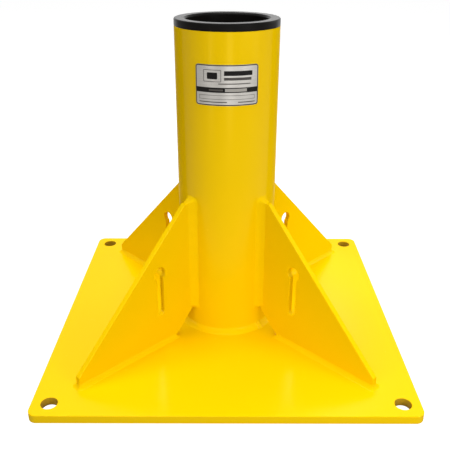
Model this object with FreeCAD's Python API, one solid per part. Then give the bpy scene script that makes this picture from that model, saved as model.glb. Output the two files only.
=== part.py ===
import FreeCAD, Part
import math
import os

# Crane pedestal base: a welded steel socket that is anchored to a floor and takes a davit crane's mast.
# The origin is the middle of the base plate's underside, +Z points up along the tube's axis, and the
# nameplate faces -Y. All sizes are in millimetres.

# Base plate, cut from 3/8 in plate
PLATE_SIDE = 406.4
PLATE_THICKNESS = 9.525
PLATE_CORNER_RADIUS = 9.5
ANCHOR_HOLE_DIAMETER = 17.46
ANCHOR_HOLE_INSET = 19.05

# Tube that holds the mast, 4 in standard pipe
TUBE_DIAMETER = 114.3
TUBE_WALL = 6.02
TUBE_HEIGHT = 355.6

# Four gussets on the plate's diagonals
GUSSET_THICKNESS = 6.35
GUSSET_HEIGHT = 167.6
GUSSET_TOP_WIDTH = 12.7
GUSSET_TOE_HEIGHT = 12.7
GUSSET_TOE_TO_HOLE = 35.6
GUSSET_CLIP = 33.3

# Keyhole through each gusset: a round head over a narrow slot
KEYHOLE_HEAD_DIAMETER = 15.875
KEYHOLE_SLOT_WIDTH = 9.3
KEYHOLE_SLOT_LENGTH = 50.3
KEYHOLE_FROM_TUBE = 52.4
KEYHOLE_FROM_SLOPE = 23.6

# Fillet welds, whose legs are measured along each wall. The beads up the gussets' inner edges reach
# further along the gusset than round the tube.
GUSSET_WELD_LEG = 4.8
TUBE_WELD_LEG = 6.35
EDGE_WELD_LEG_ON_GUSSET = 8.5
EDGE_WELD_LEG_ON_TUBE = 6.35

# Plastic bushings that guide the mast at the mouth and the foot of the tube. They fill the tube's bore
# and leave 89.7 mm for the mast, which is 3.5 in pipe.
BUSHING_WALL = 6.13
BUSHING_CLEARANCE = 0.15
FLANGE_THICKNESS = 7.94
FLANGE_CHAMFER = 1.0
MOUTH_CHAMFER = 2.0
TOP_SLEEVE_LENGTH = 50.8
LOWER_CUP_HEIGHT = 50.8
LOWER_CUP_FLOOR = 6.35
SLEEVE_CHAMFER = 1.0

# Nameplate, a thin sheet curved to the tube
NAMEPLATE_WIDTH = 68.3
NAMEPLATE_HEIGHT = 42.0
NAMEPLATE_THICKNESS = 0.5
NAMEPLATE_CORNER_RADIUS = 3.0
NAMEPLATE_FROM_TUBE_TOP = 32.0
NAMEPLATE_GLUE = 0.15

# Small flat where a cut edge is dressed before it is painted
EDGE_BREAK = 0.5

# How close an edge lies to a wall that it touches
TOUCH = 0.01

X = FreeCAD.Vector(1, 0, 0)
Y = FreeCAD.Vector(0, 1, 0)
Z = FreeCAD.Vector(0, 0, 1)
ORIGIN = FreeCAD.Vector(0, 0, 0)

tube_radius = TUBE_DIAMETER / 2
tube_bore_radius = tube_radius - TUBE_WALL
tube_top = PLATE_THICKNESS + TUBE_HEIGHT
sleeve_radius = tube_bore_radius - BUSHING_CLEARANCE
mast_radius = sleeve_radius - BUSHING_WALL
hole_offset = PLATE_SIDE / 2 - ANCHOR_HOLE_INSET

# The gussets stand on the diagonals, so the toe is set back from the anchor hole on the same line
gusset_toe = hole_offset * math.sqrt(2) - GUSSET_TOE_TO_HOLE
gusset_foot = tube_radius + GUSSET_CLIP
gusset_top = PLATE_THICKNESS + GUSSET_HEIGHT
clip_top = PLATE_THICKNESS + GUSSET_CLIP
half_gusset = GUSSET_THICKNESS / 2

# The diagonals in turn, from the one between +X and +Y
GUSSET_PLACES = ("rear_right", "rear_left", "front_left", "front_right")


def at(x, z, y=0.0):
    """A point given by its distance from the tube's axis and its height."""
    return FreeCAD.Vector(x, y, z)


def face_from(*edges):
    """A flat face inside edges that are given in order."""
    return Part.Face(Part.Wire([edge.toShape() for edge in edges]))


def turned(outline):
    """A solid turned about the tube's axis from points (radius, height)."""
    points = [at(radius, height) for radius, height in outline]
    return Part.Face(Part.makePolygon(points + points[:1])).revolve(ORIGIN, Z, 360)


def joined(pieces):
    """One solid from pieces that meet face to face."""
    return pieces[0].multiFuse(pieces[1:]).removeSplitter()


def base_plate():
    """Square plate with rounded corners and an anchor hole in each corner."""
    half = PLATE_SIDE / 2
    plate = Part.makeBox(PLATE_SIDE, PLATE_SIDE, PLATE_THICKNESS, FreeCAD.Vector(-half, -half, 0))
    corners = [edge for edge in plate.Edges if abs(edge.tangentAt(edge.FirstParameter).z) > 0.99]
    plate = plate.makeFillet(PLATE_CORNER_RADIUS, corners)
    for side_x in (-1, 1):
        for side_y in (-1, 1):
            centre = FreeCAD.Vector(side_x * hole_offset, side_y * hole_offset, 0)
            plate = plate.cut(Part.makeCylinder(ANCHOR_HOLE_DIAMETER / 2, PLATE_THICKNESS, centre))
    top_rims = [edge for edge in plate.Edges if edge.BoundBox.ZMin > PLATE_THICKNESS - TOUCH]
    return plate.makeChamfer(EDGE_BREAK, top_rims)


def mast_tube():
    """Plain tube that stands on the middle of the plate."""
    return turned([
        (tube_bore_radius, PLATE_THICKNESS),
        (tube_radius, PLATE_THICKNESS),
        (tube_radius, tube_top),
        (tube_bore_radius, tube_top),
    ])


def gusset():
    """Gusset in the XZ plane, reaching out along +X, with its keyhole and its clipped inner corner."""
    shoulder = at(tube_radius + GUSSET_TOP_WIDTH, gusset_top)
    toe = at(gusset_toe, PLATE_THICKNESS + GUSSET_TOE_HEIGHT)
    outline = [
        at(tube_radius, clip_top),
        at(gusset_foot, PLATE_THICKNESS),
        at(gusset_toe, PLATE_THICKNESS),
        toe,
        shoulder,
        at(tube_radius, gusset_top),
    ]
    blank = Part.Face(Part.makePolygon(outline + outline[:1]))
    blank.translate(Y * -half_gusset)
    plate = blank.extrude(Y * GUSSET_THICKNESS)
    open_edges = [edge for edge in plate.Edges if is_open_edge(edge)]
    return plate.makeChamfer(EDGE_BREAK, open_edges).cut(keyhole(shoulder, toe))


def is_open_edge(edge):
    """True for an edge along a gusset's face that touches neither the plate nor the tube."""
    box = edge.BoundBox
    along_face = box.YLength < TOUCH
    on_plate = box.ZMax < PLATE_THICKNESS + TOUCH
    on_tube = box.XMax < tube_radius + TOUCH
    return along_face and not on_plate and not on_tube


def keyhole(shoulder, toe):
    """Cutter for the keyhole, whose head keeps a set distance from the sloped edge."""
    slope = toe - shoulder
    head_x = tube_radius + KEYHOLE_FROM_TUBE
    slope_z = shoulder.z + (head_x - shoulder.x) * slope.z / slope.x
    head_z = slope_z - KEYHOLE_FROM_SLOPE * slope.Length / slope.x
    foot_z = head_z - KEYHOLE_SLOT_LENGTH
    half_slot = KEYHOLE_SLOT_WIDTH / 2
    slot = face_from(
        Part.LineSegment(at(head_x - half_slot, head_z), at(head_x - half_slot, foot_z)),
        Part.Arc(at(head_x - half_slot, foot_z), at(head_x, foot_z - half_slot), at(head_x + half_slot, foot_z)),
        Part.LineSegment(at(head_x + half_slot, foot_z), at(head_x + half_slot, head_z)),
        Part.LineSegment(at(head_x + half_slot, head_z), at(head_x - half_slot, head_z)),
    )
    slot.translate(Y * -GUSSET_THICKNESS)
    through = 2 * GUSSET_THICKNESS
    head_start = at(head_x, head_z, -GUSSET_THICKNESS)
    head = Part.makeCylinder(KEYHOLE_HEAD_DIAMETER / 2, through, head_start, Y)
    return slot.extrude(Y * through).fuse(head)


def bead(corner, out, up, out_leg, up_leg, sunk=0.0):
    """Section of a fillet weld in the corner between two walls that run along out and up.

    A sunk section starts inside the up wall, so that it can be trimmed to a round one.
    """
    outline = [corner - out * sunk, corner + out * out_leg, corner + up * up_leg]
    if sunk:
        outline.append(corner + up * up_leg - out * sunk)
    return Part.Face(Part.makePolygon(outline + outline[:1]))


def weld_tube_to_plate():
    """Ring of weld round the foot of the tube, running through the gussets' clipped corners."""
    section = bead(at(tube_radius, PLATE_THICKNESS), X, Z, TUBE_WELD_LEG, TUBE_WELD_LEG)
    return section.revolve(ORIGIN, Z, 360)


def weld_gusset_to_plate():
    """Bead along both sides of a gusset's foot and round its toe."""
    legs = (GUSSET_WELD_LEG, GUSSET_WELD_LEG)
    pieces = []
    for side in (-1, 1):
        out = Y * side
        foot = at(gusset_foot, PLATE_THICKNESS, side * half_gusset)
        toe = at(gusset_toe, PLATE_THICKNESS, side * half_gusset)
        pieces.append(bead(foot, out, Z, *legs).extrude(toe - foot))
        pieces.append(bead(foot, out, Z, *legs).revolve(foot, Z, side * 90))
        pieces.append(bead(toe, out, Z, *legs).revolve(toe, Z, side * -90))
    nose = at(gusset_toe, PLATE_THICKNESS, -half_gusset)
    pieces.append(bead(nose, X, Z, *legs).extrude(Y * GUSSET_THICKNESS))
    return joined(pieces)


def weld_gusset_to_tube():
    """Bead up both sides of a gusset's inner edge and over its top, trimmed to the round tube."""
    legs = (EDGE_WELD_LEG_ON_GUSSET, EDGE_WELD_LEG_ON_TUBE)
    sunk = TUBE_WALL / 2
    pieces = []
    for side in (-1, 1):
        up = Y * side
        foot = at(tube_radius, clip_top, side * half_gusset)
        top = at(tube_radius, gusset_top, side * half_gusset)
        pieces.append(bead(foot, X, up, *legs, sunk).extrude(top - foot))
        pieces.append(bead(foot, X, up, *legs, sunk).revolve(foot, X, side * -90))
        pieces.append(bead(top, X, up, *legs, sunk).revolve(top, X, side * 90))
    corner = at(tube_radius, gusset_top, -half_gusset)
    pieces.append(bead(corner, X, Z, *legs, sunk).extrude(Y * GUSSET_THICKNESS))
    return joined(pieces).cut(Part.makeCylinder(tube_radius, tube_top))


def top_bushing():
    """Flanged bushing: the flange covers the tube's end, and the sleeve fills its bore."""
    flange_top = tube_top + FLANGE_THICKNESS
    sleeve_end = tube_top - TOP_SLEEVE_LENGTH
    return turned([
        (mast_radius + MOUTH_CHAMFER, flange_top),
        (tube_radius - FLANGE_CHAMFER, flange_top),
        (tube_radius, flange_top - FLANGE_CHAMFER),
        (tube_radius, tube_top),
        (sleeve_radius, tube_top),
        (sleeve_radius, sleeve_end + SLEEVE_CHAMFER),
        (sleeve_radius - SLEEVE_CHAMFER, sleeve_end),
        (mast_radius + SLEEVE_CHAMFER, sleeve_end),
        (mast_radius, sleeve_end + SLEEVE_CHAMFER),
        (mast_radius, flange_top - MOUTH_CHAMFER),
    ])


def lower_bushing():
    """Cup at the foot of the tube, with a floor that carries the mast."""
    floor_top = PLATE_THICKNESS + LOWER_CUP_FLOOR
    rim = PLATE_THICKNESS + LOWER_CUP_HEIGHT
    return turned([
        (0, PLATE_THICKNESS),
        (sleeve_radius - SLEEVE_CHAMFER, PLATE_THICKNESS),
        (sleeve_radius, PLATE_THICKNESS + SLEEVE_CHAMFER),
        (sleeve_radius, rim),
        (mast_radius + MOUTH_CHAMFER, rim),
        (mast_radius, rim - MOUTH_CHAMFER),
        (mast_radius, floor_top),
        (0, floor_top),
    ])


def nameplate():
    """Thin plate with rounded corners, bent round the front of the tube."""
    inner = tube_radius + NAMEPLATE_GLUE
    outer = inner + NAMEPLATE_THICKNESS
    top = tube_top - NAMEPLATE_FROM_TUBE_TOP
    bottom = top - NAMEPLATE_HEIGHT
    angle = math.degrees(NAMEPLATE_WIDTH / outer)
    section = Part.makePolygon([
        at(inner, bottom),
        at(outer, bottom),
        at(outer, top),
        at(inner, top),
        at(inner, bottom),
    ])
    sheet = Part.Face(section).revolve(ORIGIN, Z, angle)
    sheet.rotate(ORIGIN, Z, -90 - angle / 2)
    corners = [edge for edge in sheet.Edges if edge.Length < 2 * NAMEPLATE_THICKNESS]
    return sheet.makeFillet(NAMEPLATE_CORNER_RADIUS, corners)


def build():
    """Every piece of the base by name."""
    parts = {
        "base_plate": base_plate(),
        "mast_tube": mast_tube(),
        "weld_tube_to_plate": weld_tube_to_plate(),
        "top_bushing": top_bushing(),
        "lower_bushing": lower_bushing(),
        "nameplate": nameplate(),
    }
    diagonal_pieces = {
        "gusset_%s": gusset(),
        "weld_gusset_%s_to_tube": weld_gusset_to_tube(),
        "weld_gusset_%s_to_plate": weld_gusset_to_plate(),
    }
    for turn, place in enumerate(GUSSET_PLACES):
        for name, shape in diagonal_pieces.items():
            piece = shape.copy()
            piece.rotate(ORIGIN, Z, 45 + 90 * turn)
            parts[name % place] = piece
    return parts


os.makedirs("parts", exist_ok=True)
for node, shape in build().items():
    shape.exportStep("parts/%s.step" % node)
    print("%-34s %d solid(s) %10.0f mm3" % (node, len(shape.Solids), shape.Volume))
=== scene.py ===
import math

import bpy
from mathutils import Euler, Matrix, Vector, noise


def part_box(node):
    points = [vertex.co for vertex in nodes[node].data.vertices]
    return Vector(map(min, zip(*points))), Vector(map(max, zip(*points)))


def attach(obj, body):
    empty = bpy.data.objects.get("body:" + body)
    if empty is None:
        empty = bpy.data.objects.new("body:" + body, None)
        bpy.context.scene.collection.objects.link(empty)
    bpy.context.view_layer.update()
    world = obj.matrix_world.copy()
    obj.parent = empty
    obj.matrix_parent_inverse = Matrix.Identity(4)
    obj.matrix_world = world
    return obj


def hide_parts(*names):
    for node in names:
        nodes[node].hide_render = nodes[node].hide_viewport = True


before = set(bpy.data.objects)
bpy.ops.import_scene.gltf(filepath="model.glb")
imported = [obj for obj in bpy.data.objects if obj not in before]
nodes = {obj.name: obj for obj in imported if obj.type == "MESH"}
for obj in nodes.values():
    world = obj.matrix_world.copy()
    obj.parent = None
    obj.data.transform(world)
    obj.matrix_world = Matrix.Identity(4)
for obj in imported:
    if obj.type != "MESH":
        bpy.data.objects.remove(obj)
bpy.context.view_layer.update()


# Base plate
# The base plate is a square of 3/8 in steel, cut by laser, with an anchor hole in each corner. Once all
# the steel is welded up it is blasted and powder coated yellow, and the coat rounds every cut edge.
PAINTED_EDGE = 0.00035
MERGE = 0.000002
FLAT = math.radians(0.4)
CORNER = math.radians(20)
SMOOTH = math.radians(40)
YELLOW = (0.84, 0.54, 0.0, 1.0)
YELLOW_THIN = (0.86, 0.565, 0.002, 1.0)
# Painted shade: the dark brown painted on the coat down inside the anchor holes.
PAINTED_SHADE_IN_HOLE = (0.47, 0.28, 0.012, 1.0)
COAT_SHEEN = (1.0, 0.76, 0.12, 1.0)
THIN_SHARE = 0.2
DRIFT_SCALE = 14.0
SWELL_SCALE = 55.0
HAZE_SCALE = 120.0
PEEL_DEPTH = 0.00008
GLOSS_FADES_FROM = 0.2
NO_GLOSS = 0.001
EDGE_GLOSS = 0.4
ANCHOR_HOLE_INSET = 0.01905
ANCHOR_HOLE_RADIUS = 0.00873
ANCHOR_HOLE_BLEND = 0.0003

base_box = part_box("base_plate")
plate_top = base_box[1].z
anchor_hole_offset = base_box[1].x - ANCHOR_HOLE_INSET


def add_sockets(group, direction, sockets):
    """Named sockets of a node group, each with its type and, for an input, its value."""
    for name, kind, value in sockets:
        socket = group.interface.new_socket(name, in_out=direction, socket_type="NodeSocket" + kind)
        if value is not None:
            socket.default_value = value


def add_node(tree, kind, settings=None, **inputs):
    """A shader node, with its settings by attribute and its inputs as values or as links."""
    node = tree.nodes.new("ShaderNode" + kind)
    for name, value in (settings or {}).items():
        setattr(node, name, value)
    for name, value in inputs.items():
        socket = node.inputs[int(name[1:])] if name[1:].isdigit() else node.inputs[name.replace("_", " ")]
        if isinstance(value, bpy.types.NodeSocket):
            tree.links.new(value, socket)
        else:
            socket.default_value = value
    return node


def powder_coat_group():
    """Baked powder coat: orange peel, and a faint unevenness of thickness and of gloss."""
    group = bpy.data.node_groups.new("powder coat film", "ShaderNodeTree")
    add_sockets(group, "INPUT", [
        ("Vector", "Vector", None),
        ("Colour", "Color", YELLOW),
        ("Thin colour", "Color", YELLOW_THIN),
        ("Peel size", "Float", 420.0),
        ("Gloss", "Float", 0.23),
    ])
    add_sockets(group, "OUTPUT", [
        ("Colour", "Color", None),
        ("Roughness", "Float", None),
        ("Height", "Float", None),
    ])
    given = group.nodes.new("NodeGroupInput")
    result = group.nodes.new("NodeGroupOutput")
    place = given.outputs["Vector"]
    drift = add_node(group, "TexNoise", Vector=place, Scale=DRIFT_SCALE, Detail=3.0, Roughness=0.55)
    film = add_node(group, "MapRange", _0=drift.outputs["Fac"], _1=0.3, _2=0.7, _3=0.0, _4=1.0)
    share = add_node(group, "Math", {"operation": "MULTIPLY"}, _0=film.outputs[0], _1=THIN_SHARE)
    blend = add_node(group, "Mix", {"data_type": "RGBA"}, _0=share.outputs[0],
                     _6=given.outputs["Colour"], _7=given.outputs["Thin colour"])
    peel = add_node(group, "TexNoise", Vector=place, Scale=given.outputs["Peel size"], Detail=1.5,
                    Roughness=0.4)
    swell = add_node(group, "TexNoise", Vector=place, Scale=SWELL_SCALE, Detail=1.0)
    height = add_node(group, "Math", {"operation": "MULTIPLY_ADD"}, _0=swell.outputs["Fac"], _1=0.8,
                      _2=peel.outputs["Fac"])
    haze = add_node(group, "TexNoise", Vector=place, Scale=HAZE_SCALE, Detail=4.0)
    dull = add_node(group, "MapRange", _0=haze.outputs["Fac"], _1=0.35, _2=0.75, _3=-0.035, _4=0.05)
    rough = add_node(group, "Math", {"operation": "ADD"}, _0=given.outputs["Gloss"], _1=dull.outputs[0])
    group.links.new(blend.outputs[2], result.inputs["Colour"])
    group.links.new(rough.outputs[0], result.inputs["Roughness"])
    group.links.new(height.outputs[0], result.inputs["Height"])
    return group


def cut_edge_group():
    """Fine lines that the laser leaves down a cut edge, only where the surface faces away from Thickness."""
    group = bpy.data.node_groups.new("laser cut lines", "ShaderNodeTree")
    add_sockets(group, "INPUT", [
        ("Vector", "Vector", None),
        ("Normal", "Vector", None),
        ("Thickness", "Vector", (0.0, 0.0, 1.0)),
        ("Spacing", "Float", 1100.0),
    ])
    add_sockets(group, "OUTPUT", [("Height", "Float", None)])
    given = group.nodes.new("NodeGroupInput")
    result = group.nodes.new("NodeGroupOutput")
    along = add_node(group, "VectorMath", {"operation": "DOT_PRODUCT"},
                     _0=given.outputs["Vector"], _1=given.outputs["Thickness"])
    depth = add_node(group, "VectorMath", {"operation": "SCALE"}, _0=given.outputs["Thickness"],
                     Scale=along.outputs["Value"])
    flat = add_node(group, "VectorMath", {"operation": "SUBTRACT"},
                    _0=given.outputs["Vector"], _1=depth.outputs["Vector"])
    slow = add_node(group, "VectorMath", {"operation": "SCALE"}, _0=depth.outputs["Vector"], Scale=0.03)
    drawn = add_node(group, "VectorMath", {"operation": "ADD"},
                     _0=flat.outputs["Vector"], _1=slow.outputs["Vector"])
    lines = add_node(group, "TexNoise", Vector=drawn.outputs["Vector"], Scale=given.outputs["Spacing"],
                     Detail=2.0)
    facing = add_node(group, "VectorMath", {"operation": "DOT_PRODUCT"},
                      _0=given.outputs["Normal"], _1=given.outputs["Thickness"])
    turned = add_node(group, "Math", {"operation": "ABSOLUTE"}, _0=facing.outputs["Value"])
    edge = add_node(group, "MapRange", _0=turned.outputs[0], _1=0.3, _2=0.6, _3=1.0, _4=0.0)
    height = add_node(group, "Math", {"operation": "MULTIPLY"}, _0=lines.outputs["Fac"], _1=edge.outputs[0])
    group.links.new(height.outputs[0], result.inputs["Height"])
    return group


def anchor_hole_group():
    """Mask of the four anchor holes, folded over the plate's two planes of symmetry."""
    group = bpy.data.node_groups.new("inside an anchor hole", "ShaderNodeTree")
    add_sockets(group, "INPUT", [("Vector", "Vector", None)])
    add_sockets(group, "OUTPUT", [("Mask", "Float", None)])
    given = group.nodes.new("NodeGroupInput")
    result = group.nodes.new("NodeGroupOutput")
    folded = add_node(group, "VectorMath", {"operation": "ABSOLUTE"}, _0=given.outputs["Vector"])
    offset = add_node(group, "VectorMath", {"operation": "SUBTRACT"}, _0=folded.outputs["Vector"],
                      _1=(anchor_hole_offset, anchor_hole_offset, 0.0))
    parts = add_node(group, "SeparateXYZ", Vector=offset.outputs["Vector"])
    level = add_node(group, "CombineXYZ", X=parts.outputs["X"], Y=parts.outputs["Y"])
    far = add_node(group, "VectorMath", {"operation": "LENGTH"}, _0=level.outputs["Vector"])
    mask = add_node(group, "MapRange", _0=far.outputs["Value"], _1=ANCHOR_HOLE_RADIUS,
                    _2=ANCHOR_HOLE_RADIUS + ANCHOR_HOLE_BLEND, _3=1.0, _4=0.0)
    group.links.new(mask.outputs[0], result.inputs["Mask"])
    return group


powder_coat_film = powder_coat_group()
laser_cut_lines = cut_edge_group()
inside_anchor_hole = anchor_hole_group()


def powder_coat(name, thickness=None, gloss=0.35, fade=0.5, holes=None):
    """Yellow powder coat. A cut piece gives the direction of its thickness, and gets duller, lined edges.

    The gloss fades as the surface turns away, and is gone where Layer Weight's Facing reaches fade. Where
    the holes group gives a mask, the coat is painted dark brown: painted shade down the walls of a hole.
    """
    material = bpy.data.materials.new(name)
    material.use_nodes = True
    tree = material.node_tree
    shader = tree.nodes["Principled BSDF"]
    where = tree.nodes.new("ShaderNodeTexCoord")
    film = tree.nodes.new("ShaderNodeGroup")
    film.node_tree = powder_coat_film
    tree.links.new(where.outputs["Object"], film.inputs["Vector"])
    colour = film.outputs["Colour"]
    # Painted shade: inside each anchor hole the colour is mixed to a dark brown.
    if holes:
        hole = tree.nodes.new("ShaderNodeGroup")
        hole.node_tree = holes
        tree.links.new(where.outputs["Object"], hole.inputs["Vector"])
        colour = add_node(tree, "Mix", {"data_type": "RGBA"}, _0=hole.outputs["Mask"], _6=colour,
                          _7=PAINTED_SHADE_IN_HOLE).outputs[2]
    tree.links.new(colour, shader.inputs["Base Color"])
    tree.links.new(film.outputs["Roughness"], shader.inputs["Roughness"])
    height = film.outputs["Height"]
    facing = add_node(tree, "LayerWeight", Blend=0.5)
    shine = add_node(tree, "MapRange", _0=facing.outputs["Facing"], _1=GLOSS_FADES_FROM, _2=fade,
                     _3=gloss, _4=NO_GLOSS).outputs[0]
    if thickness:
        lines = tree.nodes.new("ShaderNodeGroup")
        lines.node_tree = laser_cut_lines
        lines.inputs["Thickness"].default_value = thickness
        tree.links.new(where.outputs["Object"], lines.inputs["Vector"])
        tree.links.new(where.outputs["Normal"], lines.inputs["Normal"])
        height = add_node(tree, "Math", {"operation": "MULTIPLY_ADD"}, _0=lines.outputs["Height"], _1=0.6,
                          _2=height).outputs[0]
        upright = add_node(tree, "VectorMath", {"operation": "DOT_PRODUCT"}, _0=where.outputs["Normal"],
                           _1=thickness)
        turned = add_node(tree, "Math", {"operation": "ABSOLUTE"}, _0=upright.outputs["Value"])
        face = add_node(tree, "MapRange", _0=turned.outputs[0], _1=0.3, _2=0.6, _3=EDGE_GLOSS,
                        _4=1.0)
        shine = add_node(tree, "Math", {"operation": "MULTIPLY"}, _0=shine, _1=face.outputs[0]).outputs[0]
    relief = add_node(tree, "Bump", Strength=0.25, Distance=PEEL_DEPTH, Height=height)
    tree.links.new(relief.outputs["Normal"], shader.inputs["Normal"])
    tree.links.new(shine, shader.inputs["Specular IOR Level"])
    shader.inputs["IOR"].default_value = 1.5
    shader.inputs["Specular Tint"].default_value = COAT_SHEEN
    return material


def finish_piece(piece, name, material, slot, *replaced):
    """Name a piece, give it its finish, and let it ride in place of its CAD nodes."""
    piece.name = name
    piece.data.name = name
    piece.data.materials.clear()
    piece.data.materials.append(material)
    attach(piece, "root")
    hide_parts(*replaced)


def rounded_copy(node, name, width):
    """A copy of a CAD node in one skin, with its sharp edges rounded over."""
    bpy.ops.object.select_all(action="DESELECT")
    piece = bpy.data.objects.new(name, nodes[node].data.copy())
    bpy.context.collection.objects.link(piece)
    bpy.context.view_layer.objects.active = piece
    piece.select_set(True)
    bpy.ops.mesh.customdata_custom_splitnormals_clear()
    bpy.ops.object.mode_set(mode="EDIT")
    bpy.ops.mesh.select_all(action="SELECT")
    bpy.ops.mesh.remove_doubles(threshold=MERGE)
    bpy.ops.mesh.dissolve_limited(angle_limit=FLAT)
    bpy.ops.object.mode_set(mode="OBJECT")
    rounding = piece.modifiers.new("rounded edges", "BEVEL")
    rounding.width = width
    rounding.segments = 3
    rounding.limit_method = "ANGLE"
    rounding.angle_limit = CORNER
    bpy.ops.object.modifier_apply(modifier=rounding.name)
    bpy.ops.object.shade_smooth_by_angle(angle=SMOOTH)
    even = piece.modifiers.new("flat faces stay flat", "WEIGHTED_NORMAL")
    even.keep_sharp = True
    bpy.ops.object.modifier_apply(modifier=even.name)
    return piece


def coated_steel(node, name, material):
    """A steel piece as its coat leaves it."""
    piece = rounded_copy(node, name, PAINTED_EDGE)
    finish_piece(piece, name, material, "yellow_powder_coat", node)


plate_coat = powder_coat("coat on the plate", (0.0, 0.0, 1.0), fade=0.62, holes=inside_anchor_hole)
coated_steel("base_plate", "painted_base_plate", plate_coat)


# Mast tube
# The tube is 4 in standard pipe, saw cut square at both ends. It stands on the plate and is welded all
# round its foot.
tube_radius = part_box("mast_tube")[1].x

coated_steel("mast_tube", "painted_mast_tube", powder_coat("coat on the tube"))


# Gussets
# Four gussets of 1/4 in plate stand on the plate's diagonals. Each is laser cut in one pass, with its
# keyhole and with its inner corner clipped so that the tube's own weld can run through.
GUSSETS = {
    "rear_right": 45,
    "rear_left": 135,
    "front_left": 225,
    "front_right": 315,
}

DIAGONAL = math.sqrt(0.5)
GUSSET_FADE = 0.4

gusset_coats = {
    45: powder_coat("coat on the gussets front left and rear right", (-DIAGONAL, DIAGONAL, 0.0),
                    fade=GUSSET_FADE),
    135: powder_coat("coat on the gussets front right and rear left", (DIAGONAL, DIAGONAL, 0.0),
                     fade=GUSSET_FADE),
}
for place, angle in GUSSETS.items():
    coated_steel("gusset_" + place, "painted_gusset_" + place, gusset_coats[angle % 180])


# Weld beads
# All the steel is joined with wire-fed fillet welds, laid by hand and left as laid under the coat. A bead
# runs round the tube, one wraps each gusset's toe on the plate, and one runs up and over each inner edge.
HALF_GUSSET = 0.003175
GUSSET_CLIP = 0.0333
PLATE_BEAD_LEG = 0.0048
RING_BEAD_LEG = 0.00635
EDGE_BEAD_LEG_ON_GUSSET = 0.0085
EDGE_BEAD_LEG_ON_TUBE = 0.00635
BEAD_STEP = 0.0004
TURN_STEPS = 14
SECTION_STEPS = 12
RIPPLE_PITCH = 0.0023
RIPPLE_HEIGHT = 0.0002
TOE = 0.24
CROWN = 0.05
WANDER = 0.05
END_SWELL = 0.16
END_LENGTH = 0.005
KNOT_SWELL = 0.16
KNOT_WIDTH = 0.0002
RESTARTS = (-6, -1)
COARSE_SHAKE = 35
FINE_SHAKE = 130
RIPPLE_SHAKE = 90
RIPPLE_UNSTEADY = 0.4
RIPPLE_LAG = 0.8
RIPPLE_SHARPNESS = 1.5
BEAD_MERGE = 0.0000005
BEAD_SMOOTH = math.radians(50)
BEAD_GLOSS = 0.12

gusset_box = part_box("gusset_rear_right")
gusset_top = gusset_box[1].z
gusset_toe = gusset_box[1].x * math.sqrt(2) - HALF_GUSSET
gusset_foot = tube_radius + GUSSET_CLIP


def round_tab(length):
    """Root points and outward angles of a bead laid round a tab that stands on the XY plane.

    The tab reaches from x = 0 to length. The bead starts and ends with a quarter turn at x = 0.
    """
    corners = [Vector((x, y, 0)) for x, y in (
        (0, -HALF_GUSSET), (length, -HALF_GUSSET), (length, HALF_GUSSET), (0, HALF_GUSSET))]
    path = []
    for i, corner in enumerate(corners):
        start = math.radians(180 + 90 * i)
        end = start + math.radians(90)
        path += [(corner, start + (end - start) * j / TURN_STEPS) for j in range(TURN_STEPS + 1)]
        if corner != corners[-1]:
            run = corners[i + 1] - corner
            steps = round(run.length / BEAD_STEP)
            path += [(corner + run * (j / steps), end) for j in range(1, steps)]
    return path


def round_tube():
    """Root points and outward angles of the closed bead round the tube's foot."""
    steps = round(2 * math.pi * tube_radius / BEAD_STEP)
    turns = [2 * math.pi * i / steps for i in range(steps + 1)]
    return [(Vector((tube_radius * math.cos(a), tube_radius * math.sin(a), plate_top)), a) for a in turns]


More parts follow.
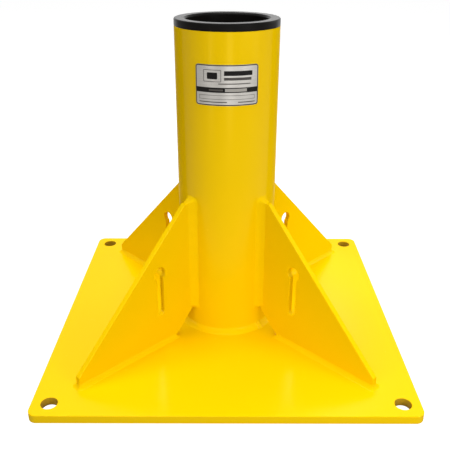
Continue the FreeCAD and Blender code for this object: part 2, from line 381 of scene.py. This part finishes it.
def lay_bead(path, base_leg, wall_leg, seed, knots=()):
    """A bead laid along a path: a strip rolled round the fillet's section, swelled and rippled, and closed.

    A knot is a lump where the weld was stopped and started again, given by its outward angle.
    """
    bpy.ops.object.select_all(action="DESELECT")
    bpy.ops.mesh.primitive_grid_add(x_subdivisions=len(path) - 1, y_subdivisions=SECTION_STEPS, size=2)
    bead = bpy.context.object
    closed = (path[0][0] - path[-1][0]).length < BEAD_STEP
    middles = [root + Vector((math.cos(turn), math.sin(turn), 1)) * (base_leg / 2) for root, turn in path]
    distance = [0.0]
    for before, after in zip(middles, middles[1:]):
        distance.append(distance[-1] + (after - before).length)
    length = distance[-1]
    pitch = length / round(length / RIPPLE_PITCH)
    uneven = []
    for root, turn in path:
        shake = noise.noise(root * FINE_SHAKE + Vector((0, 0, seed)))
        shake += noise.noise(root * COARSE_SHAKE + Vector((seed, 0, 0)))
        lumps = sum(math.exp(-((turn - knot) * base_leg / KNOT_WIDTH) ** 2) for knot in knots)
        uneven.append(WANDER * shake + KNOT_SWELL * lumps)
    for vertex in bead.data.vertices:
        along = round((vertex.co.x + 1) / 2 * (len(path) - 1))
        across = round((vertex.co.y + 1) / 2 * SECTION_STEPS)
        root, turn = path[along]
        if across in (0, SECTION_STEPS):
            vertex.co = root
            continue
        rise = math.radians(45) * (1 - math.cos(math.pi * (across - 1) / (SECTION_STEPS - 2)))
        bulge = max(0.0, math.sin(2 * rise))
        chord = 1 / (math.cos(rise) / base_leg + math.sin(rise) / wall_leg)
        swell = uneven[along]
        if not closed:
            to_end = min(distance[along], length - distance[along])
            swell += END_SWELL * math.exp(-(to_end / END_LENGTH) ** 2) * math.cos(rise)
        drift = noise.noise(middles[along] * RIPPLE_SHAKE + Vector((0, 0, seed)))
        unsteady = RIPPLE_UNSTEADY * pitch * drift
        lag = RIPPLE_LAG * pitch * bulge
        wave = 0.5 + 0.5 * math.cos(2 * math.pi * (distance[along] + lag + unsteady) / pitch)
        reach = chord * (1 - TOE * math.sqrt(bulge) + CROWN * bulge + swell)
        reach += RIPPLE_HEIGHT * (wave ** RIPPLE_SHARPNESS - 0.5) * bulge
        out = Vector((math.cos(turn), math.sin(turn), 0))
        vertex.co = root + out * (reach * math.cos(rise)) + Vector((0, 0, reach * math.sin(rise)))
    bpy.ops.object.mode_set(mode="EDIT")
    bpy.ops.mesh.select_all(action="SELECT")
    bpy.ops.mesh.remove_doubles(threshold=BEAD_MERGE)
    if not closed:
        bpy.ops.mesh.select_all(action="DESELECT")
        bpy.ops.mesh.select_non_manifold(extend=False, use_wire=False, use_boundary=True,
                                         use_multi_face=False, use_non_contiguous=False, use_verts=False)
        bpy.ops.mesh.fill_holes(sides=0)
    bpy.ops.mesh.select_all(action="SELECT")
    bpy.ops.mesh.normals_make_consistent(inside=False)
    bpy.ops.object.mode_set(mode="OBJECT")
    bpy.ops.object.shade_smooth_by_angle(angle=BEAD_SMOOTH)
    return bead


weld_coat = powder_coat("coat on the welds", gloss=BEAD_GLOSS)

knots = [math.radians(GUSSETS["front_right"] + degrees) for degrees in RESTARTS]
ring = lay_bead(round_tube(), RING_BEAD_LEG, RING_BEAD_LEG, seed=1, knots=knots)
finish_piece(ring, "bead_round_tube", weld_coat, "yellow_powder_coat", "weld_tube_to_plate")

on_plate = Matrix.Translation((gusset_foot, 0, plate_top))
on_tube = Matrix((
    (0, 0, 1, tube_radius),
    (0, -1, 0, 0),
    (1, 0, 0, plate_top + GUSSET_CLIP),
    (0, 0, 0, 1),
))
round_toe = round_tab(gusset_toe - gusset_foot)
over_top = round_tab(gusset_top - plate_top - GUSSET_CLIP)

for seed, (place, angle) in enumerate(GUSSETS.items()):
    turned = Matrix.Rotation(math.radians(angle), 4, "Z")
    bead = lay_bead(round_toe, PLATE_BEAD_LEG, PLATE_BEAD_LEG, seed=10 + seed)
    bead.data.transform(turned @ on_plate)
    finish_piece(bead, "bead_%s_to_plate" % place, weld_coat, "yellow_powder_coat",
                 "weld_gusset_%s_to_plate" % place)
    bead = lay_bead(over_top, EDGE_BEAD_LEG_ON_TUBE, EDGE_BEAD_LEG_ON_GUSSET, seed=20 + seed)
    bead.data.transform(on_tube)
    for vertex in bead.data.vertices:
        vertex.co.x -= tube_radius - math.sqrt(tube_radius ** 2 - vertex.co.y ** 2)
    bead.data.transform(turned)
    finish_piece(bead, "bead_%s_to_tube" % place, weld_coat, "yellow_powder_coat",
                 "weld_gusset_%s_to_tube" % place)


# Mast bushings
# Two bushings of black plastic, turned on a lathe, line the tube where the mast bears. The top one has a
# flange over the tube's end, with a broken outer edge and a lead-in chamfer at its mouth.
FLANGE_ROUND = 0.0006
TURNING_SCALE = 2600.0
TURNING_DEPTH = 0.00006
BLACK = (0.0035, 0.003, 0.0028, 1.0)
PALER_BLACK = (0.008, 0.0075, 0.007, 1.0)


def turned_plastic():
    """Black plastic off the lathe: satin, with tool marks round the axis."""
    material = bpy.data.materials.new("turned black plastic")
    material.use_nodes = True
    tree = material.node_tree
    shader = tree.nodes["Principled BSDF"]
    where = tree.nodes.new("ShaderNodeTexCoord")
    parts = add_node(tree, "SeparateXYZ", Vector=where.outputs["Object"])
    level = add_node(tree, "CombineXYZ", X=parts.outputs["X"], Y=parts.outputs["Y"])
    radius = add_node(tree, "VectorMath", {"operation": "LENGTH"}, _0=level.outputs["Vector"])
    section = add_node(tree, "CombineXYZ", X=radius.outputs["Value"], Y=parts.outputs["Z"])
    marks = add_node(tree, "TexNoise", Vector=section.outputs["Vector"], Scale=TURNING_SCALE, Detail=1.0)
    cloud = add_node(tree, "TexNoise", Vector=where.outputs["Object"], Scale=70.0, Detail=3.0)
    height = add_node(tree, "Math", {"operation": "MULTIPLY_ADD"}, _0=marks.outputs["Fac"], _1=0.5,
                      _2=cloud.outputs["Fac"])
    relief = add_node(tree, "Bump", Strength=0.25, Distance=TURNING_DEPTH, Height=height.outputs[0])
    tint = add_node(tree, "Mix", {"data_type": "RGBA"}, _0=cloud.outputs["Fac"], _6=BLACK,
                    _7=PALER_BLACK)
    rough = add_node(tree, "MapRange", _0=marks.outputs["Fac"], _1=0.3, _2=0.7, _3=0.3, _4=0.42)
    tree.links.new(tint.outputs[2], shader.inputs["Base Color"])
    tree.links.new(rough.outputs[0], shader.inputs["Roughness"])
    tree.links.new(relief.outputs["Normal"], shader.inputs["Normal"])
    facing = add_node(tree, "LayerWeight", Blend=0.5)
    gloss = add_node(tree, "MapRange", _0=facing.outputs["Facing"], _1=0.6, _2=0.85, _3=0.04, _4=0.2)
    tree.links.new(gloss.outputs[0], shader.inputs["Specular IOR Level"])
    return material


black_plastic = turned_plastic()

for node in ("top_bushing", "lower_bushing"):
    bushing = rounded_copy(node, "turned_" + node, FLANGE_ROUND)
    finish_piece(bushing, "turned_" + node, black_plastic, "black_plastic", node)


# Nameplate
# A thin brushed aluminium plate with rounded corners is bent round the front of the tube and stuck on.
# It is printed black: a fine border, a solid band, and empty ruled fields where data would be stamped.
NAMEPLATE_CORNER = 0.003
NAMEPLATE_THICKNESS = 0.0005
NAMEPLATE_WIDTH = 0.0683
NAMEPLATE_STRIP = 0.0012
PRINT_BLEND = 0.00006
BRUSHING = (60.0, 9000.0, 1.0)
BRUSHING_DEPTH = 0.00002
DULL_METAL = (0.24, 0.23, 0.212, 1.0)
BRIGHT_METAL = (0.38, 0.365, 0.34, 1.0)

nameplate_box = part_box("nameplate")
nameplate_height = nameplate_box[1].z - nameplate_box[0].z
nameplate_middle = (nameplate_box[1].z + nameplate_box[0].z) / 2
nameplate_radius = -nameplate_box[0].y


def printed_box_group():
    """Mask of a printed box: an outline of a given weight, or a filled field where the weight is large."""
    group = bpy.data.node_groups.new("printed box", "ShaderNodeTree")
    add_sockets(group, "INPUT", [
        ("Vector", "Vector", None),
        ("Centre", "Vector", (0.0, 0.0, 0.0)),
        ("Half size", "Vector", (0.01, 0.01, 1.0)),
        ("Corner", "Float", 0.0005),
        ("Weight", "Float", 0.0004),
    ])
    add_sockets(group, "OUTPUT", [("Mask", "Float", None)])
    given = group.nodes.new("NodeGroupInput")
    result = group.nodes.new("NodeGroupOutput")
    offset = add_node(group, "VectorMath", {"operation": "SUBTRACT"},
                      _0=given.outputs["Vector"], _1=given.outputs["Centre"])
    folded = add_node(group, "VectorMath", {"operation": "ABSOLUTE"}, _0=offset.outputs["Vector"])
    beyond = add_node(group, "VectorMath", {"operation": "SUBTRACT"},
                      _0=folded.outputs["Vector"], _1=given.outputs["Half size"])
    inset = add_node(group, "CombineXYZ", X=given.outputs["Corner"], Y=given.outputs["Corner"])
    core = add_node(group, "VectorMath", {"operation": "ADD"},
                    _0=beyond.outputs["Vector"], _1=inset.outputs["Vector"])
    outside = add_node(group, "VectorMath", {"operation": "MAXIMUM"}, _0=core.outputs["Vector"],
                       _1=(0.0, 0.0, 0.0))
    far = add_node(group, "VectorMath", {"operation": "LENGTH"}, _0=outside.outputs["Vector"])
    axes = add_node(group, "SeparateXYZ", Vector=core.outputs["Vector"])
    near = add_node(group, "Math", {"operation": "MAXIMUM"}, _0=axes.outputs["X"], _1=axes.outputs["Y"])
    within = add_node(group, "Math", {"operation": "MINIMUM"}, _0=near.outputs[0], _1=0.0)
    reach = add_node(group, "Math", {"operation": "ADD"}, _0=far.outputs["Value"], _1=within.outputs[0])
    edge = add_node(group, "Math", {"operation": "SUBTRACT"}, _0=reach.outputs[0],
                    _1=given.outputs["Corner"])
    inside = add_node(group, "MapRange", _0=edge.outputs[0], _1=-PRINT_BLEND, _2=PRINT_BLEND,
                      _3=1.0, _4=0.0)
    inner = add_node(group, "Math", {"operation": "ADD"}, _0=edge.outputs[0], _1=given.outputs["Weight"])
    hollow = add_node(group, "MapRange", _0=inner.outputs[0], _1=-PRINT_BLEND, _2=PRINT_BLEND,
                      _3=0.0, _4=1.0)
    ink = add_node(group, "Math", {"operation": "MULTIPLY"}, _0=inside.outputs[0], _1=hollow.outputs[0])
    group.links.new(ink.outputs[0], result.inputs["Mask"])
    return group


printed_box = printed_box_group()

FILLED = 1.0
BORDER_INK = (0.012, 0.011, 0.01, 1.0)
INK = (0.004, 0.0035, 0.003, 1.0)
GREY_INK = (0.07, 0.065, 0.06, 1.0)
BARE = (0.36, 0.345, 0.32, 1.0)
PRINT = (
    ((0.0, 0.0), (0.0340, 0.0208), 0.0028, 0.0010, BORDER_INK),
    ((0.0, -0.0047), (0.0333, 0.0026), 0.0, FILLED, INK),
    ((-0.0115, -0.0047), (0.0075, 0.0009), 0.0004, FILLED, GREY_INK),
    ((0.0095, -0.0047), (0.0115, 0.0016), 0.0004, FILLED, BARE),
    ((-0.0155, 0.0098), (0.0095, 0.0062), 0.0010, 0.0006, GREY_INK),
    ((-0.0155, 0.0098), (0.0055, 0.0034), 0.0010, FILLED, INK),
    ((0.0120, 0.0125), (0.0150, 0.0024), 0.0004, FILLED, INK),
    ((0.0115, 0.0068), (0.0145, 0.0014), 0.0004, FILLED, GREY_INK),
    ((0.0080, 0.0018), (0.0170, 0.0005), 0.0002, FILLED, GREY_INK),
    ((0.0, -0.0122), (0.0300, 0.0022), 0.0004, 0.0004, GREY_INK),
    ((-0.0150, -0.0172), (0.0150, 0.0005), 0.0002, FILLED, GREY_INK),
    ((0.0210, -0.0172), (0.0095, 0.0005), 0.0002, FILLED, GREY_INK),
)


def brushed_nameplate():
    """Brushed aluminium with black print, laid out in metres on the plate's own UV map."""
    material = bpy.data.materials.new("brushed nameplate")
    material.use_nodes = True
    tree = material.node_tree
    shader = tree.nodes["Principled BSDF"]
    where = add_node(tree, "UVMap", {"uv_map": "sheet"})
    drawn = add_node(tree, "Mapping", Vector=where.outputs["UV"], Scale=BRUSHING)
    brush = add_node(tree, "TexNoise", Vector=drawn.outputs["Vector"], Scale=1.0, Detail=3.0)
    metal = add_node(tree, "ValToRGB", Fac=brush.outputs["Fac"])
    metal.color_ramp.elements[0].position = 0.3
    metal.color_ramp.elements[0].color = DULL_METAL
    metal.color_ramp.elements[1].position = 0.7
    metal.color_ramp.elements[1].color = BRIGHT_METAL
    colour = metal.outputs["Color"]
    bare = 1.0
    for centre, half, corner, weight, ink in PRINT:
        box = tree.nodes.new("ShaderNodeGroup")
        box.node_tree = printed_box
        box.inputs["Centre"].default_value = (*centre, 0.0)
        box.inputs["Half size"].default_value = (*half, 1.0)
        box.inputs["Corner"].default_value = corner
        box.inputs["Weight"].default_value = weight
        tree.links.new(where.outputs["UV"], box.inputs["Vector"])
        colour = add_node(tree, "Mix", {"data_type": "RGBA"}, _0=box.outputs["Mask"], _6=colour,
                          _7=ink).outputs[2]
        left = add_node(tree, "Math", {"operation": "SUBTRACT"}, _0=1.0, _1=box.outputs["Mask"]).outputs[0]
        bare = add_node(tree, "Math", {"operation": "MULTIPLY"}, _0=left, _1=bare).outputs[0]
    rough = add_node(tree, "MapRange", _0=bare, _1=0.0, _2=1.0, _3=0.5, _4=0.38)
    relief = add_node(tree, "Bump", Strength=0.3, Distance=BRUSHING_DEPTH, Height=brush.outputs["Fac"])
    tree.links.new(colour, shader.inputs["Base Color"])
    tree.links.new(bare, shader.inputs["Metallic"])
    shader.inputs["Specular IOR Level"].default_value = 0.1
    tree.links.new(rough.outputs[0], shader.inputs["Roughness"])
    tree.links.new(relief.outputs["Normal"], shader.inputs["Normal"])
    return material


def bent_nameplate():
    """The plate cut flat, with its corners rounded, and bent to the tube."""
    bpy.ops.object.select_all(action="DESELECT")
    bpy.ops.mesh.primitive_plane_add(size=1, rotation=(math.radians(90), 0, 0))
    piece = bpy.context.object
    bpy.ops.object.transform_apply(rotation=True)
    bpy.ops.object.mode_set(mode="EDIT")
    bpy.ops.mesh.select_all(action="SELECT")
    bpy.ops.transform.resize(value=(NAMEPLATE_WIDTH, 1, nameplate_height), center_override=(0, 0, 0))
    bpy.ops.mesh.bevel(affect="VERTICES", offset=NAMEPLATE_CORNER, segments=8)
    strips = round(NAMEPLATE_WIDTH / NAMEPLATE_STRIP)
    for i in range(1, strips):
        bpy.ops.mesh.select_all(action="SELECT")
        bpy.ops.mesh.bisect(plane_co=((i / strips - 0.5) * NAMEPLATE_WIDTH, 0, 0), plane_no=(1, 0, 0))
    bpy.ops.object.mode_set(mode="OBJECT")
    while piece.data.uv_layers:
        piece.data.uv_layers.remove(piece.data.uv_layers[0])
    sheet = piece.data.uv_layers.new(name="sheet")
    for loop in piece.data.loops:
        flat = piece.data.vertices[loop.vertex_index].co
        sheet.data[loop.index].uv = (flat.x, flat.z)
    for vertex in piece.data.vertices:
        angle = vertex.co.x / nameplate_radius
        vertex.co = (
            nameplate_radius * math.sin(angle),
            -nameplate_radius * math.cos(angle),
            nameplate_middle + vertex.co.z,
        )
    sheet_metal = piece.modifiers.new("sheet thickness", "SOLIDIFY")
    sheet_metal.thickness = NAMEPLATE_THICKNESS
    sheet_metal.offset = -1
    bpy.ops.object.modifier_apply(modifier=sheet_metal.name)
    bpy.ops.object.shade_smooth_by_angle(angle=SMOOTH)
    return piece


finish_piece(bent_nameplate(), "printed_nameplate", brushed_nameplate(), "nameplate_metal", "nameplate")


# Studio
# The base stands on a white floor under soft light from above, from the front, from behind and from both
# sides. The camera stands in front and looks down at it, as in the photograph.
CAMERA_PLACE = (0.000837, -0.691449, 0.451703)
CAMERA_PITCH = 0.42971
CAMERA_YAW = 0.00085
CAMERA_ROLL = 0.002787
PHOTO_PIXELS = 450
FOCAL_PIXELS = 620.72
CENTRE_RIGHT_PIXELS = 2.895
CENTRE_UP_PIXELS = 4.867
SENSOR = 36.0
CONE_WIDTH = math.radians(20)
CONE_RADIUS = 0.1
AMBIENT = 0.15
FLOOR_SIZE = 60.0
FLOOR_GLOW = 0.95

view = bpy.data.cameras.new("camera")
view.sensor_width = SENSOR
view.lens = SENSOR * FOCAL_PIXELS / PHOTO_PIXELS
view.shift_x = -CENTRE_RIGHT_PIXELS / PHOTO_PIXELS
view.shift_y = -CENTRE_UP_PIXELS / PHOTO_PIXELS
view.clip_start = 0.01
camera = bpy.data.objects.new("camera", view)
bpy.context.collection.objects.link(camera)
turn = Euler((math.pi / 2 - CAMERA_PITCH, 0, -CAMERA_YAW)).to_matrix().to_4x4()
roll = Matrix.Rotation(CAMERA_ROLL, 4, "Z")
camera.matrix_world = Matrix.Translation(CAMERA_PLACE) @ turn @ roll
bpy.context.scene.camera = camera


def aim_lamp(light, place, target):
    """Hang a lamp at its place, out of the camera's sight, and turn it to its target."""
    lamp = bpy.data.objects.new(light.name, light)
    bpy.context.collection.objects.link(lamp)
    lamp.location = place
    lamp.rotation_euler = (Vector(target) - Vector(place)).to_track_quat("-Z", "Y").to_euler()
    lamp.visible_camera = False


def soft_box(name, place, target, width, height, power):
    """A rectangular soft light."""
    light = bpy.data.lights.new(name, "AREA")
    light.shape = "RECTANGLE"
    light.size = width
    light.size_y = height
    light.energy = power
    aim_lamp(light, place, target)


def soft_cone(name, place, target, power):
    """A round soft light, narrowed so that it reaches the gussets and leaves the tube's mouth alone."""
    light = bpy.data.lights.new(name, "SPOT")
    light.energy = power
    light.spot_size = CONE_WIDTH
    light.spot_blend = 1.0
    light.shadow_soft_size = CONE_RADIUS
    aim_lamp(light, place, target)


soft_box("overhead", (-0.12, 0.18, 2.0), (0, 0, 0), 1.2, 1.2, 38.52)
soft_box("left front", (-0.6, -1.5, 1.0), (0, 0, 0.1), 0.6, 0.8, 6.2)
soft_box("right front", (0.72, -0.92, 0.5), (0, 0, 0.05), 0.5, 0.4, 5.7)
soft_box("back", (0.1, 1.4, 1.3), (0, 0, 0.1), 0.8, 0.8, 6.32)
soft_box("near right", (0.8, 0.35, 0.5), (0.05, 0, 0), 0.4, 0.4, 1.38)
soft_cone("rear left side", (-1.1, -0.1, 0.35), (-0.11, 0.1, 0.06), 11.5)
soft_cone("rear right side", (1.1, -0.1, 0.35), (0.11, 0.1, 0.06), 14.95)
soft_cone("front left", (-0.9, -1.1, 0.5), (0.13, -0.13, 0.05), 11.0)
soft_box("right strip", (0.9, -0.5, 0.35), (0, 0, 0.1), 0.3, 0.6, 0.46)
soft_box("low front", (0.1, -0.995, 0.26), (0, 0, 0.26), 0.16, 0.5, 1.1)
soft_box("left strip", (-0.559, -0.829, 0.22), (0, 0, 0.22), 0.06, 0.42, 0.4)


def seen_through(tree):
    """1 for rays that show the background: from the camera, off metal and gloss, and through glass."""
    path = tree.nodes.new("ShaderNodeLightPath")
    first = add_node(tree, "Math", {"operation": "MAXIMUM"},
                     _0=path.outputs["Is Camera Ray"], _1=path.outputs["Is Glossy Ray"])
    return add_node(tree, "Math", {"operation": "MAXIMUM"}, _0=first.outputs[0],
                    _1=path.outputs["Is Transmission Ray"]).outputs[0]


world = bpy.data.worlds.new("studio")
world.use_nodes = True
bpy.context.scene.world = world
tree = world.node_tree
level = add_node(tree, "MapRange", _0=seen_through(tree), _1=0.0, _2=1.0, _3=AMBIENT, _4=1.0)
tree.nodes["Background"].inputs["Color"].default_value = (1.0, 1.0, 1.0, 1.0)
tree.links.new(level.outputs[0], tree.nodes["Background"].inputs["Strength"])

bpy.ops.object.select_all(action="DESELECT")
bpy.ops.mesh.primitive_plane_add(size=FLOOR_SIZE)
floor = bpy.context.object
floor.name = "floor"
paper = bpy.data.materials.new("white floor")
paper.use_nodes = True
tree = paper.node_tree
shader = tree.nodes["Principled BSDF"]
grain = add_node(tree, "TexNoise", Scale=40.0, Detail=2.0)
shade = add_node(tree, "MapRange", _0=grain.outputs["Fac"], _1=0.0, _2=1.0, _3=0.24, _4=0.27)
tree.links.new(shade.outputs[0], shader.inputs["Base Color"])
shader.inputs["Roughness"].default_value = 0.9
shader.inputs["Specular IOR Level"].default_value = 0.0
shader.inputs["Emission Color"].default_value = (1.0, 1.0, 1.0, 1.0)
glow = add_node(tree, "Math", {"operation": "MULTIPLY"}, _0=seen_through(tree), _1=FLOOR_GLOW)
tree.links.new(glow.outputs[0], shader.inputs["Emission Strength"])
floor.data.materials.append(paper)

bpy.context.scene.view_settings.view_transform = "Standard"
